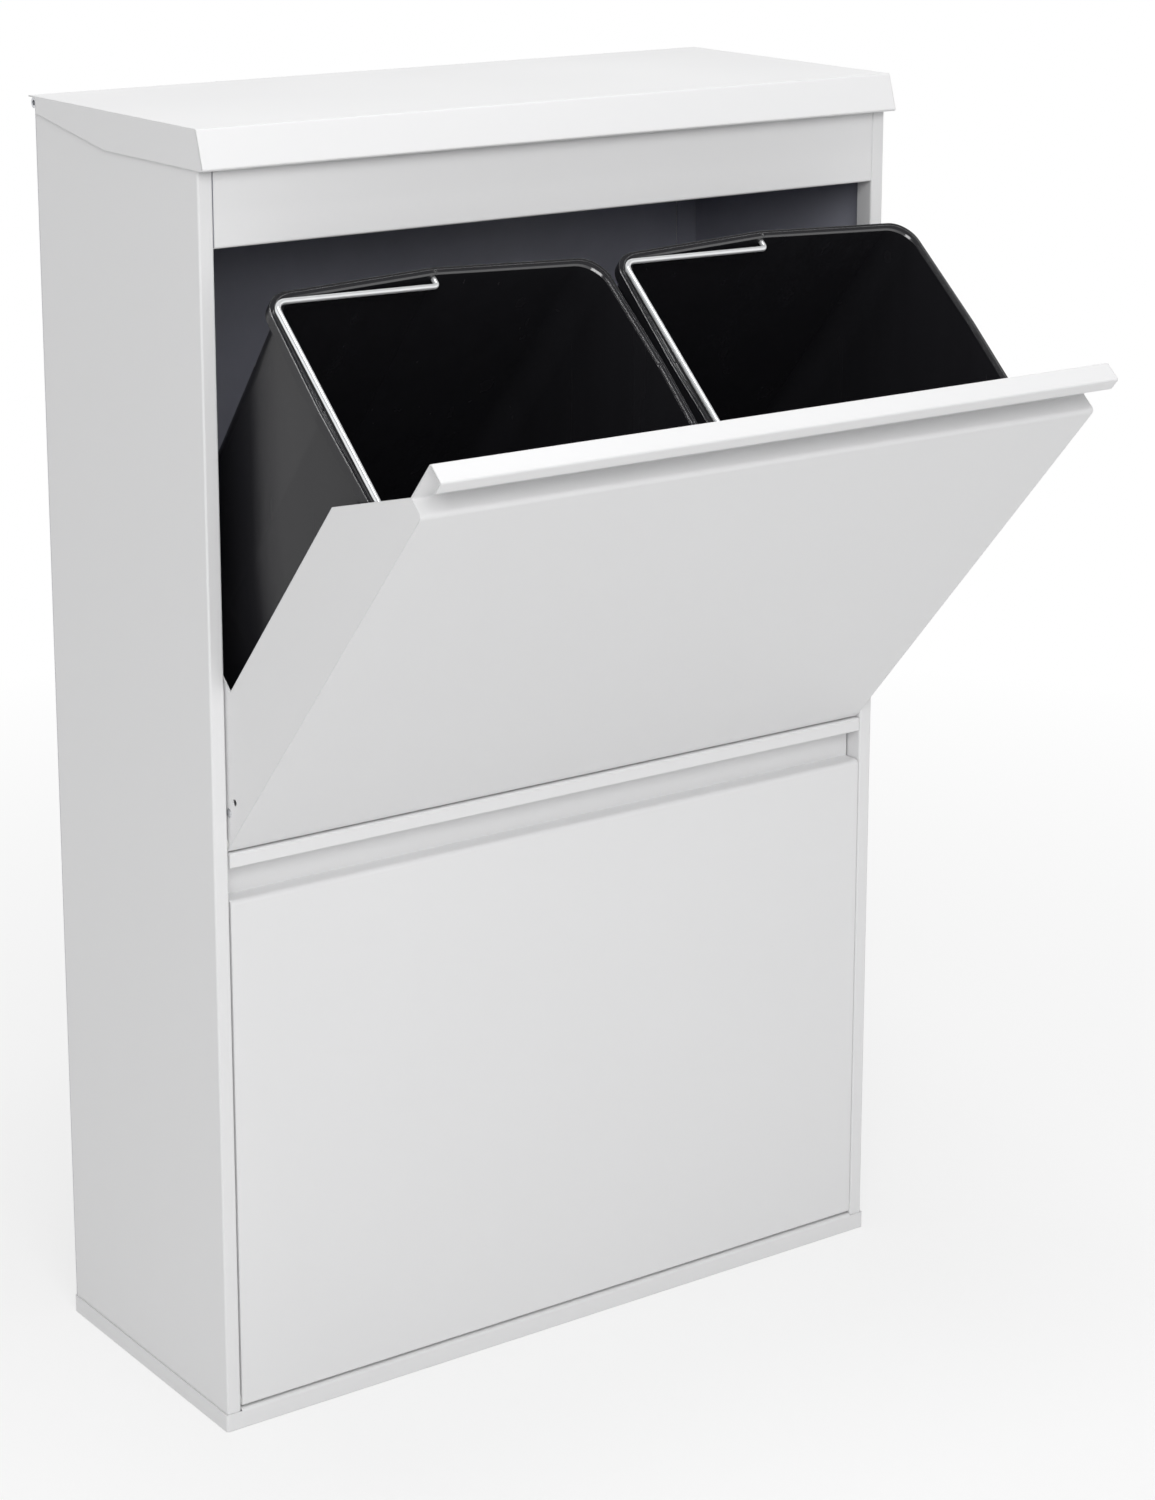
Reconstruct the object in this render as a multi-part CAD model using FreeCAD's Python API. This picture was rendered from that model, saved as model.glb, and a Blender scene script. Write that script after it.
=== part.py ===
import FreeCAD, Part

import math
import os

# Recycling bin cabinet of folded sheet steel, in millimetres.
# X runs to the right, Y from the front to the wall, Z up.
# The origin is on the floor, under the middle of the base.

# Sheet metal
SHEET = 1.0
INSIDE_BEND = 0.6

# Cabinet
CABINET_WIDTH = 588.0
CABINET_DEPTH = 232.0
STILE_WIDTH = 11.3
STILE_RETURN = 16.0
REAR_FLANGE = 20.0
EDGE_FLANGE = 18.0
FLANGE_NOTCH = 2.0

# Base pan
BASE_LIP = 13.0
BASE_FIT = 0.2
BASE_LEDGE = 10.0
BASE_LEDGE_RISE = 1.4
BASE_LEDGE_BEND = 1.8
BASE_CORNER = 2.0

# Fascia, top tray and middle braces
FASCIA_HEIGHT = 77.5
FASCIA_RETURN = 12.0
FASCIA_FIT = 0.4
TRAY_LIP = 12.0
TRAY_FIT = 0.5
BRACE_HEIGHT = 9.0
BRACE_WIDTH = 30.0
BRACE_TAB = 18.0
BRACE_DOOR_GAP = 3.5
BRACE_RAIL_ROOM = 4.0

# Doors
DOOR_HEIGHT = 415.6
DOOR_SIDE_GAP = 1.0
DOOR_BOTTOM_GAP = 1.9
DOOR_BETWEEN_GAP = 2.4
DOOR_TOP_GAP = 2.5
DOOR_RETURN = 20.0
GRIP_HEIGHT = 34.2
GRIP_DEPTH = 16.0
GRIP_LIP = 10.2
GRIP_BEND = 2.5
FLANGE_DEPTH = 70.0
FLANGE_DROP = 79.5
CARRIER_HEIGHT = 95.0
OPEN_ANGLE = 41.3
FLANGE_HOLE_UP = 38.2
FLANGE_HOLE_BACK = 16.4
FLANGE_HOLE_RADIUS = 2.4

# Door pivots
PIVOT_UP = 4.5
PIVOT_BACK = 5.0
STUD_RADIUS = 2.2
STUD_HEAD_RADIUS = 3.1
STUD_HEAD = 1.5
RUNNING_CLEARANCE = 0.06
BUSH_WALL = 1.4
BUSH_FLANGE = 1.0
BUSH_FLANGE_THICK = 0.5
BUSH_LENGTH = 5.0

# Door stops and pads
LUG_UP = 80.0
LUG_RADIUS = 4.0
LUG_LENGTH = 7.0
LUG_SHANK_RADIUS = 2.0
LUG_HEAD_RADIUS = 3.5
STOP_CLEARANCE = 0.3
PAD_RADIUS = 6.0
PAD_SIDE = 150.0
PAD_CLEARANCE = 0.3

# Bin trays
TRAY_FRONT = 12.0
TRAY_REAR_WALL = 70.0
TRAY_TAB = 30.0
TRAY_BIN_GAP = 1.5

# Bins and bails
BIN_TOP_ROOM = 81.4
BIN_GRIP_ROOM = 1.2
BIN_REAR_ROOM = 2.5
BIN_SIDE_ROOM = 1.8
BIN_BETWEEN = 4.8
BIN_SEAT = 0.2
BIN_WALL = 2.2
BIN_FLOOR = 2.5
BIN_TAPER = 11.0
BIN_SIDE_BOW = 2.5
BIN_END_BOW = 7.0
BIN_CORNER = 20.0
BIN_APEX_ROUND = 12.0
BIN_FOOT_CHAMFER = 5.0
RIM_WIDTH = 4.8
RIM_DEPTH = 9.0
RIM_THICK = 2.0
RIM_TOP = 1.6
RIM_EDGE_ROUND = 0.5
RIM_BEAD_ROUND = 1.1
RIM_STEP = 1.2
RIM_STEP_WIDTH = 2.4
RIM_NOTCH_WIDTH = 1.6
RIM_NOTCH_DEPTH = 0.7
WIRE_RADIUS = 2.0
BAIL_HOLE_CLEARANCE = 0.4
BAIL_PIVOT_DROP = 5.5
BAIL_INSET = 13.4
BAIL_SPLAY = 5.0
BAIL_REACH_SHORT = 5.0
BAIL_REST_GAP = 2.0
BAIL_CORNER = 9.0
BAIL_HOOK_BEND = 3.0
BAIL_HOOK_IN = 1.2

# Lid
LID_GAP = 2.0
LID_SIDE_GAP = 0.8
LID_FRONT_REACH = 2.5
LID_APRON = 27.5
LID_FLARE = 8.5
LID_HEM = 6.0
LID_REAR_REACH = 1.5
LID_KINK_FROM_FRONT = 128.0
LID_FLANGE_REAR = 12.0
LID_FLANGE_REAR_REACH = 4.0
BUFFER_RADIUS = 4.0
BUFFER_CLEARANCE = 0.3
BUFFER_SPAN = 60.0

# Lid hinge
HINGE_RADIUS = 4.0
HINGE_PIN_RADIUS = 1.9
HINGE_PIN_SHORT = 2.5
HINGE_LEAF = 1.2
HINGE_LEAF_WIDTH = 22.0
HINGE_LID_GAP = 0.4
HINGE_BACK_GAP = 0.4
HINGE_END_INSET = 1.0
HINGE_KNUCKLES = 11
KNUCKLE_GAP = 0.6

# Rivets and wall holes
RIVET_RADIUS = 1.6
RIVET_HEAD_RADIUS = 3.2
RIVET_HEAD = 0.6
RIVET_CLEARANCE = 0.1
RIVET_EDGE = 8.0
BACK_RIVET_ROWS = 5
WALL_HOLE_SPACING = 400.0
WALL_HOLE_RADIUS = 3.0
WALL_HOLE_DROP = 45.0

# Worked out from the sizes above
BEND = SHEET + INSIDE_BEND
FRONT = -CABINET_DEPTH / 2
BACK = CABINET_DEPTH / 2
SIDE = CABINET_WIDTH / 2
STILE_INNER = SIDE - STILE_WIDTH
RETURN_REAR = FRONT + STILE_RETURN
DOOR_HALF = STILE_INNER - DOOR_SIDE_GAP
LEDGE_TOP = BASE_LIP + BASE_LEDGE_RISE
LOWER_DOOR_BOTTOM = LEDGE_TOP + DOOR_BOTTOM_GAP
UPPER_DOOR_BOTTOM = LOWER_DOOR_BOTTOM + DOOR_HEIGHT + DOOR_BETWEEN_GAP
FASCIA_BOTTOM = UPPER_DOOR_BOTTOM + DOOR_HEIGHT + DOOR_TOP_GAP
SIDE_TOP = FASCIA_BOTTOM + FASCIA_HEIGHT
LID_UNDER = SIDE_TOP + LID_GAP
LID_TOP = LID_UNDER + SHEET
PANEL_TOP = DOOR_HEIGHT - GRIP_HEIGHT
PIVOT_Y = FRONT + PIVOT_BACK
OPEN_SIN = math.sin(math.radians(OPEN_ANGLE))
OPEN_COS = math.cos(math.radians(OPEN_ANGLE))
LUG_BEHIND_RETURN = RETURN_REAR + LUG_RADIUS + STOP_CLEARANCE - PIVOT_Y
LUG_BACK = PIVOT_BACK + (LUG_BEHIND_RETURN + (LUG_UP - PIVOT_UP) * OPEN_SIN) / OPEN_COS
BRACE_TOP = UPPER_DOOR_BOTTOM - BRACE_DOOR_GAP
BRACE_BOTTOM = BRACE_TOP - BRACE_HEIGHT
BUSH_RADIUS = STUD_RADIUS + RUNNING_CLEARANCE + BUSH_WALL
RIVET_HOLE = RIVET_RADIUS + RIVET_CLEARANCE
RIVET_SEAT = RIVET_HEAD_RADIUS + SHEET
TOP_TRAY_REAR = BACK - 2 * SHEET - TRAY_FIT
TRAY_HALF = DOOR_HALF - SHEET
BIN_BASE = 2 * SHEET + BIN_SEAT
BIN_RIM = DOOR_HEIGHT - BIN_TOP_ROOM
BIN_HALF_WIDTH = (2 * TRAY_HALF - 2 * BIN_SIDE_ROOM - BIN_BETWEEN) / 4
BIN_CENTRE = BIN_BETWEEN / 2 + BIN_HALF_WIDTH
BIN_FRONT = GRIP_DEPTH + BIN_GRIP_ROOM
BIN_REAR = CABINET_DEPTH - SHEET - BIN_REAR_ROOM
BIN_HALF_DEPTH = (BIN_REAR - BIN_FRONT) / 2
BIN_MIDDLE = FRONT + BIN_FRONT + BIN_HALF_DEPTH
BIN_LEAN = BIN_TAPER / (BIN_RIM - BIN_BASE)
BIN_INSET_AT_TRAY = RIM_WIDTH + BIN_LEAN * (BIN_RIM - TRAY_REAR_WALL)
CARRIER_DEPTH = BIN_REAR - BIN_INSET_AT_TRAY + TRAY_BIN_GAP + SHEET
TRAY_RIVET_UP = TRAY_TAB - RIVET_SEAT
TRAY_RIVETS_BACK = (
    TRAY_FRONT + RIVET_SEAT,
    (TRAY_FRONT + CARRIER_DEPTH) / 2,
    CARRIER_DEPTH - RIVET_SEAT - RIVET_EDGE,
)
BAIL_PIVOT = BIN_RIM - BAIL_PIVOT_DROP
LID_HALF = SIDE + LID_SIDE_GAP + SHEET
LID_FRONT = FRONT - LID_FRONT_REACH
HINGE_Y = BACK + HINGE_BACK_GAP + HINGE_RADIUS
HINGE_Z = LID_UNDER - HINGE_LID_GAP - HINGE_RADIUS
LID_REAR = HINGE_Y + LID_REAR_REACH
HINGE_LENGTH = CABINET_WIDTH - 2 * HINGE_END_INSET
KNUCKLE_PITCH = HINGE_LENGTH / HINGE_KNUCKLES
HINGE_RIVET_Z = HINGE_Z - HINGE_LEAF_WIDTH + RIVET_SEAT
WALL_HOLE_Z = SIDE_TOP - WALL_HOLE_DROP

X_AXIS = FreeCAD.Vector(1, 0, 0)
Y_AXIS = FreeCAD.Vector(0, 1, 0)
Z_AXIS = FreeCAD.Vector(0, 0, 1)
ORIGIN = FreeCAD.Vector(0, 0, 0)


def vector(x, y, z):
    return FreeCAD.Vector(x, y, z)


def block(x_range, y_range, z_range):
    """Box between two planes on each axis."""
    (x0, x1), (y0, y1), (z0, z1) = x_range, y_range, z_range
    return Part.makeBox(x1 - x0, y1 - y0, z1 - z0, vector(x0, y0, z0))


def rod(start, direction, length, radius):
    return Part.makeCylinder(radius, length, start, direction)


def mirrored(shape):
    """The same piece on the other side of the cabinet's middle plane."""
    return shape.mirror(ORIGIN, X_AXIS)


def both_sides(shape):
    """One node made of a left and a right solid."""
    return Part.makeCompound([shape, mirrored(shape)])


def cut_all(shape, tools):
    for tool in tools:
        shape = shape.cut(tool)
    return shape


def joined(shapes):
    """One solid from overlapping or touching ones."""
    return shapes[0].fuse(shapes[1:]).removeSplitter()


def folded_section(points, place, soft_bends=None):
    """Face across a folded strip. Points run along one skin, with the metal on their right.

    Soft bends gives the inside radius of a corner that has its own, by its place in the points.
    """
    flat = [FreeCAD.Vector(a, b, 0) for a, b in points]
    runs = [(end - start).normalize() for start, end in zip(flat, flat[1:])]
    rights = [FreeCAD.Vector(run.y, -run.x, 0) for run in runs]
    skin = [("line", flat[0])]
    inner = [("line", flat[0] + rights[0] * SHEET)]
    bends = soft_bends or {}
    corners = zip(flat[1:], runs, runs[1:], rights, rights[1:])
    for place_in_points, (corner, run_in, run_out, right_in, right_out) in enumerate(corners, 1):
        bend = bends.get(place_in_points, INSIDE_BEND)
        turn = run_in.x * run_out.y - run_in.y * run_out.x
        toward = -1 if turn > 0 else 1
        skin_radius = bend + SHEET if toward > 0 else bend
        inner_radius = bend if toward > 0 else bend + SHEET
        half_turn = math.acos(max(-1.0, min(1.0, run_in.dot(run_out)))) / 2
        bend_start = corner - run_in * (skin_radius * math.tan(half_turn))
        centre = bend_start + right_in * (toward * skin_radius)
        middle = (corner - centre).normalize()
        for side, radius in ((skin, skin_radius), (inner, inner_radius)):
            first = centre - right_in * (toward * radius)
            last = centre - right_out * (toward * radius)
            side.append(("line", first))
            side.append(("arc", centre + middle * radius, last))
    skin.append(("line", flat[-1]))
    inner.append(("line", flat[-1] + rights[-1] * SHEET))
    edges = side_edges(skin, place) + side_edges(inner, place)
    edges.append(Part.makeLine(place(skin[0][1]), place(inner[0][1])))
    edges.append(Part.makeLine(place(skin[-1][1]), place(inner[-1][1])))
    return Part.Face(Part.Wire(Part.__sortEdges__(edges)))


def side_edges(side, place):
    """Lines and arcs along one skin of a folded strip."""
    edges = []
    at = side[0][1]
    for step in side[1:]:
        if step[0] == "line":
            edges.append(Part.makeLine(place(at), place(step[1])))
        else:
            edges.append(Part.Arc(place(at), place(step[1]), place(step[2])).toShape())
        at = step[-1]
    return edges


def folded_along_x(points, half_length, soft_bends=None):
    """Folded strip with its section in Y and Z."""
    section = folded_section(points, lambda p: vector(-half_length, p.x, p.y), soft_bends)
    return section.extrude(vector(2 * half_length, 0, 0))


def folded_along_z(points, bottom, top):
    """Folded strip with its section in X and Y."""
    section = folded_section(points, lambda p: vector(p.x, p.y, bottom))
    return section.extrude(vector(0, 0, top - bottom))


def plate_across_x(points, x0, x1):
    """Flat plate whose outline is given in Y and Z."""
    outline = Part.makePolygon([vector(x0, y, z) for y, z in points + points[:1]])
    return Part.Face(outline).extrude(vector(x1 - x0, 0, 0))


def round_edges(shape, radius, chosen):
    """Fillet on the straight edges for which chosen(edge's two ends) is true."""
    straight = [edge for edge in shape.Edges if len(edge.Vertexes) == 2]
    edges = [edge for edge in straight if chosen(*[vertex.Point for vertex in edge.Vertexes])]
    return shape.makeFillet(radius, edges)


def near(a, b):
    return abs(a - b) < INSIDE_BEND / 10


def rivet(seat, outward, grip):
    """Low rivet with a bevelled head: it stands on the seat and its shank fills the grip behind it."""
    profile = [
        (0, RIVET_HEAD),
        (RIVET_HEAD_RADIUS - RIVET_HEAD, RIVET_HEAD),
        (RIVET_HEAD_RADIUS, 0),
        (RIVET_RADIUS, 0),
        (RIVET_RADIUS, -grip),
        (0, -grip),
    ]
    outline = Part.makePolygon([vector(radius, 0, height) for radius, height in profile + profile[:1]])
    solid = Part.Face(outline).revolve(ORIGIN, Z_AXIS, 360)
    solid.Placement = FreeCAD.Placement(seat, FreeCAD.Rotation(Z_AXIS, outward))
    return solid


def rivet_hole(seat, outward, grip):
    return rod(seat - outward * (grip + SHEET), outward, grip + 2 * SHEET, RIVET_HOLE)


def spaced(first, last, count):
    return [first + (last - first) * i / (count - 1) for i in range(count)]


# Where the rivets of the cabinet sit

BASE_RIVETS = [
    vector(sx * (SIDE - EDGE_FLANGE / 2), y, 2 * SHEET)
    for sx in (-1, 1)
    for y in spaced(RETURN_REAR + RIVET_EDGE + FLANGE_NOTCH, BACK - REAR_FLANGE, 3)
]
BACK_RIVETS = [
    vector(sx * (SIDE - REAR_FLANGE / 2), BACK, z)
    for sx in (-1, 1)
    for z in spaced(BASE_LIP + REAR_FLANGE, HINGE_Z - HINGE_LEAF_WIDTH - REAR_FLANGE, BACK_RIVET_ROWS)
]
FASCIA_RIVETS = [
    vector(sx * (STILE_INNER - FASCIA_FIT - SHEET), FRONT + STILE_RETURN / 2, z)
    for sx in (-1, 1)
    for z in (FASCIA_BOTTOM + REAR_FLANGE, SIDE_TOP - REAR_FLANGE)
]
BRACE_CENTRES = (
    FRONT + GRIP_DEPTH + BRACE_RAIL_ROOM + BRACE_WIDTH / 2,
    BACK - 2 * SHEET - TRAY_FIT - BRACE_WIDTH / 2,
)
HINGE_RIVETS = [
    vector(-HINGE_LENGTH / 2 + (2 * i + 0.5) * KNUCKLE_PITCH, BACK + HINGE_LEAF, HINGE_RIVET_Z)
    for i in range((HINGE_KNUCKLES + 1) // 2)
]
HINGE_GRIP = HINGE_LEAF + SHEET
FASCIA_GRIP = 2 * SHEET + FASCIA_FIT


def inward(point):
    """Direction from a side towards the cabinet's middle."""
    return X_AXIS * (-1 if point.x > 0 else 1)


def base_pan():
    """Floor pan with an upright lip all round, folded back to a ledge between the stiles."""
    outer = SIDE + BASE_FIT + SHEET
    front = FRONT - BASE_FIT - SHEET
    back = BACK + BASE_FIT + SHEET
    pan = block((-outer, outer), (front, back), (0, BASE_LIP))
    pan = round_edges(pan, BASE_CORNER, lambda a, b: near(a.x, b.x) and near(a.y, b.y))
    room = block((SHEET - outer, outer - SHEET), (front + SHEET, back - SHEET), (SHEET, BASE_LIP + SHEET))
    ledge_half = STILE_INNER - FASCIA_FIT
    fold_foot = LEDGE_TOP - SHEET - BASE_LEDGE_BEND
    trim = block((-ledge_half, ledge_half), (front, front + SHEET), (fold_foot, LEDGE_TOP))
    pan = cut_all(pan, [room, trim])
    ledge = folded_along_x(
        [(front, SHEET), (front, LEDGE_TOP), (FRONT + BASE_LEDGE, LEDGE_TOP)],
        ledge_half,
        {1: BASE_LEDGE_BEND},
    )
    pan = joined([pan, ledge])
    return cut_all(pan, [rivet_hole(seat, Z_AXIS, 2 * SHEET) for seat in BASE_RIVETS])


def left_side_panel():
    """Flat side sheet, welded flush to the stile's outer leg."""
    return block((-SIDE, SHEET - SIDE), (RETURN_REAR, BACK - SHEET), (SHEET, SIDE_TOP))


def left_stile():
    """Folded front post: outer leg, front face and the return that carries the door pivots."""
    post = folded_along_z(
        [(-STILE_INNER, RETURN_REAR), (-STILE_INNER, FRONT), (-SIDE, FRONT), (-SIDE, RETURN_REAR)],
        SHEET,
        SIDE_TOP,
    )
    holes = []
    for bottom in (LOWER_DOOR_BOTTOM, UPPER_DOOR_BOTTOM):
        start = vector(-SIDE + 2 * SHEET, PIVOT_Y, bottom + PIVOT_UP)
        holes.append(rod(start, X_AXIS, STILE_WIDTH, BUSH_RADIUS))
    holes += [rivet_hole(seat, X_AXIS, FASCIA_GRIP) for seat in FASCIA_RIVETS if seat.x < 0]
    return cut_all(post, holes)


def left_side_strips():
    """Flat strips welded inside the side sheet, along the rear, the top and the foot."""
    wall = SHEET - SIDE
    edge_x = (wall, -SIDE + EDGE_FLANGE)
    edge_y = (RETURN_REAR + FLANGE_NOTCH, BACK - 2 * SHEET - FLANGE_NOTCH)
    rear = block((wall, -SIDE + REAR_FLANGE), (BACK - 2 * SHEET, BACK - SHEET), (SHEET, SIDE_TOP))
    top = block(edge_x, edge_y, (SIDE_TOP - SHEET, SIDE_TOP))
    foot = block(edge_x, edge_y, (SHEET, 2 * SHEET))
    return Part.makeCompound([
        cut_all(rear, [rivet_hole(seat, Y_AXIS, 2 * SHEET) for seat in BACK_RIVETS if seat.x < 0]),
        top,
        cut_all(foot, [rivet_hole(seat, Z_AXIS, 2 * SHEET) for seat in BASE_RIVETS if seat.x < 0]),
    ])


def back_panel():
    panel = block((-SIDE, SIDE), (BACK - SHEET, BACK), (SHEET, SIDE_TOP))
    holes = [rivet_hole(seat, Y_AXIS, 2 * SHEET) for seat in BACK_RIVETS]
    holes += [rivet_hole(seat, Y_AXIS, HINGE_GRIP) for seat in HINGE_RIVETS]
    for sx in (-1, 1):
        start = vector(sx * WALL_HOLE_SPACING / 2, BACK - 2 * SHEET, WALL_HOLE_Z)
        holes.append(rod(start, Y_AXIS, 3 * SHEET, WALL_HOLE_RADIUS))
    return cut_all(panel, holes)


def top_fascia():
    half = STILE_INNER - FASCIA_FIT
    strip = folded_along_x(
        [
            (FRONT + FASCIA_RETURN, FASCIA_BOTTOM),
            (FRONT, FASCIA_BOTTOM),
            (FRONT, SIDE_TOP),
            (FRONT + FASCIA_RETURN, SIDE_TOP),
        ],
        half,
    )
    tab_y = (FRONT + INSIDE_BEND, RETURN_REAR - SHEET)
    tab_z = (FASCIA_BOTTOM + BEND, SIDE_TOP - BEND)
    tabs = [block((-half, SHEET - half), tab_y, tab_z), block((half - SHEET, half), tab_y, tab_z)]
    holes = [rivet_hole(seat, inward(seat), FASCIA_GRIP) for seat in FASCIA_RIVETS]
    return cut_all(joined([strip] + tabs), holes)


def top_tray():
    """Flat floor of the compartment under the lid, with a tongue over the fascia's return."""
    half = SIDE - SHEET
    front = RETURN_REAR + TRAY_FIT
    floor_z = (FASCIA_BOTTOM + SHEET, FASCIA_BOTTOM + 2 * SHEET)
    tongue_half = STILE_INNER - FASCIA_FIT - SHEET - TRAY_FIT
    return joined([
        block((-half, half), (front, TOP_TRAY_REAR), floor_z),
        block((-tongue_half, tongue_half), (FRONT + BEND + TRAY_FIT, front + TRAY_FIT), floor_z),
    ])


def top_tray_lips():
    """Upright strips by which the tray's floor is welded to the sides, and one along its rear."""
    half = SIDE - SHEET
    lip_z = (FASCIA_BOTTOM + 2 * SHEET, FASCIA_BOTTOM + SHEET + TRAY_LIP)
    side_y = (RETURN_REAR + TRAY_FIT, TOP_TRAY_REAR)
    return Part.makeCompound([
        block((-half, SHEET - half), side_y, lip_z),
        block((half - SHEET, half), side_y, lip_z),
        block((SHEET - half, half - SHEET), (TOP_TRAY_REAR - SHEET, TOP_TRAY_REAR), lip_z),
    ])


def middle_brace(centre_y):
    """Channel between the two door openings, open below, welded to the sides by its end tabs."""
    half = SIDE - SHEET
    front = centre_y - BRACE_WIDTH / 2
    back = centre_y + BRACE_WIDTH / 2
    channel = folded_along_x(
        [(front, BRACE_BOTTOM), (front, BRACE_TOP), (back, BRACE_TOP), (back, BRACE_BOTTOM)],
        half,
    )
    tab_y = (front + BEND, back - BEND)
    tab_z = (BRACE_BOTTOM - BRACE_TAB, BRACE_TOP - INSIDE_BEND)
    tabs = [block((-half, SHEET - half), tab_y, tab_z), block((half - SHEET, half), tab_y, tab_z)]
    return joined([channel] + tabs)


def knuckles(parity, leaf, web):
    """Hinge leaf with a rolled knuckle on every second place along the barrel."""
    pieces = [leaf]
    for i in range(parity, HINGE_KNUCKLES, 2):
        x0 = -HINGE_LENGTH / 2 + i * KNUCKLE_PITCH + KNUCKLE_GAP / 2
        x1 = x0 + KNUCKLE_PITCH - KNUCKLE_GAP
        pieces.append(rod(vector(x0, HINGE_Y, HINGE_Z), X_AXIS, x1 - x0, HINGE_RADIUS))
        pieces.append(web(x0, x1))
    bore = rod(vector(-SIDE, HINGE_Y, HINGE_Z), X_AXIS, CABINET_WIDTH, HINGE_PIN_RADIUS + RUNNING_CLEARANCE)
    return joined(pieces).cut(bore)


def hinge_fixed_leaf():
    y_range = (BACK, BACK + HINGE_LEAF)
    clear = HINGE_Z - HINGE_RADIUS - KNUCKLE_GAP
    leaf = block((-HINGE_LENGTH / 2, HINGE_LENGTH / 2), y_range, (HINGE_Z - HINGE_LEAF_WIDTH, clear))
    hinge = knuckles(0, leaf, lambda x0, x1: block((x0, x1), y_range, (clear - SHEET, HINGE_Z)))
    return cut_all(hinge, [rivet_hole(seat, Y_AXIS, HINGE_GRIP) for seat in HINGE_RIVETS])


def hinge_lid_leaf():
    z_range = (LID_UNDER - HINGE_LEAF, LID_UNDER)
    clear = HINGE_Y - HINGE_RADIUS - KNUCKLE_GAP
    leaf = block((-HINGE_LENGTH / 2, HINGE_LENGTH / 2), (HINGE_Y - HINGE_LEAF_WIDTH, clear), z_range)
    return knuckles(1, leaf, lambda x0, x1: block((x0, x1), (clear - SHEET, HINGE_Y), z_range))


def hinge_pin():
    """Pin that ends a little inside the barrel."""
    half = HINGE_LENGTH / 2 - HINGE_PIN_SHORT
    return rod(vector(-half, HINGE_Y, HINGE_Z), X_AXIS, 2 * half, HINGE_PIN_RADIUS)


def lid_buffers():
    pads = []
    for sx in (-1, 1):
        for sy in (-1, 1):
            seat = vector(sx * (SIDE - EDGE_FLANGE / 2), sy * BUFFER_SPAN, SIDE_TOP)
            pads.append(rod(seat, Z_AXIS, LID_GAP - BUFFER_CLEARANCE, BUFFER_RADIUS))
    return Part.makeCompound(pads)


def lid_panel():
    apron_foot = LID_TOP - LID_APRON
    foot_y = LID_FRONT - LID_FLARE
    shell = folded_along_x(
        [(foot_y + LID_HEM, apron_foot), (foot_y, apron_foot), (LID_FRONT, LID_TOP), (LID_REAR, LID_TOP)],
        LID_HALF,
    )
    kink_y = LID_FRONT + LID_KINK_FROM_FRONT
    rear_y = BACK - LID_FLANGE_REAR_REACH
    outline = [
        (LID_FRONT + BEND, LID_TOP - INSIDE_BEND),
        (LID_FRONT - LID_FLARE + BEND, apron_foot),
        (kink_y, apron_foot),
        (rear_y, LID_TOP - LID_FLANGE_REAR),
        (rear_y, LID_TOP - INSIDE_BEND),
    ]
    flanges = [
        plate_across_x(outline, -LID_HALF, SHEET - LID_HALF),
        plate_across_x(outline, LID_HALF - SHEET, LID_HALF),
    ]
    return joined([shell] + flanges)


def flange_outline():
    """Door flange seen from the side, as distances behind the door's face and above its foot."""
    shoulder = PANEL_TOP - FLANGE_DROP
    fold = GRIP_BEND + SHEET
    fold_middle = fold * (1 - math.sqrt(0.5))
    return [
        (BEND, 0),
        (CARRIER_DEPTH, 0),
        (CARRIER_DEPTH, CARRIER_HEIGHT),
        (FLANGE_DEPTH, CARRIER_HEIGHT),
        (FLANGE_DEPTH, shoulder),
        (GRIP_DEPTH, PANEL_TOP),
        (fold, PANEL_TOP),
        (fold_middle, PANEL_TOP - fold_middle),
        (0, PANEL_TOP - fold),
        (0, BEND),
    ]


def door_panel(bottom):
    """Front sheet with the grip rail along its top, a return along its foot and a flange at each side."""
    grip_face = GRIP_DEPTH - SHEET
    section = [
        (DOOR_RETURN, 0),
        (0, 0),
        (0, PANEL_TOP),
        (grip_face, PANEL_TOP),
        (grip_face, DOOR_HEIGHT - SHEET),
        (SHEET, DOOR_HEIGHT - SHEET),
        (SHEET, DOOR_HEIGHT - GRIP_LIP),
    ]
    soft_bends = {section.index((0, PANEL_TOP)): GRIP_BEND}
    sheet = folded_along_x([(FRONT + back, bottom + up) for back, up in section], DOOR_HALF, soft_bends)
    outline = [(FRONT + back, bottom + up) for back, up in flange_outline()]
    flanges = [
        plate_across_x(outline, -DOOR_HALF, SHEET - DOOR_HALF),
        plate_across_x(outline, DOOR_HALF - SHEET, DOOR_HALF),
    ]
    door = joined([sheet] + flanges)
    holes = [
        (PIVOT_BACK, PIVOT_UP, STUD_RADIUS),
        (LUG_BACK, LUG_UP, LUG_SHANK_RADIUS),
        (FLANGE_HOLE_BACK, FLANGE_HOLE_UP, FLANGE_HOLE_RADIUS),
    ]
    holes += [(back, TRAY_RIVET_UP, RIVET_HOLE) for back in TRAY_RIVETS_BACK]
    span = 2 * DOOR_HALF
    return cut_all(door, [
        rod(vector(-DOOR_HALF, FRONT + back, bottom + up), X_AXIS, span, radius) for back, up, radius in holes
    ])


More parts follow.
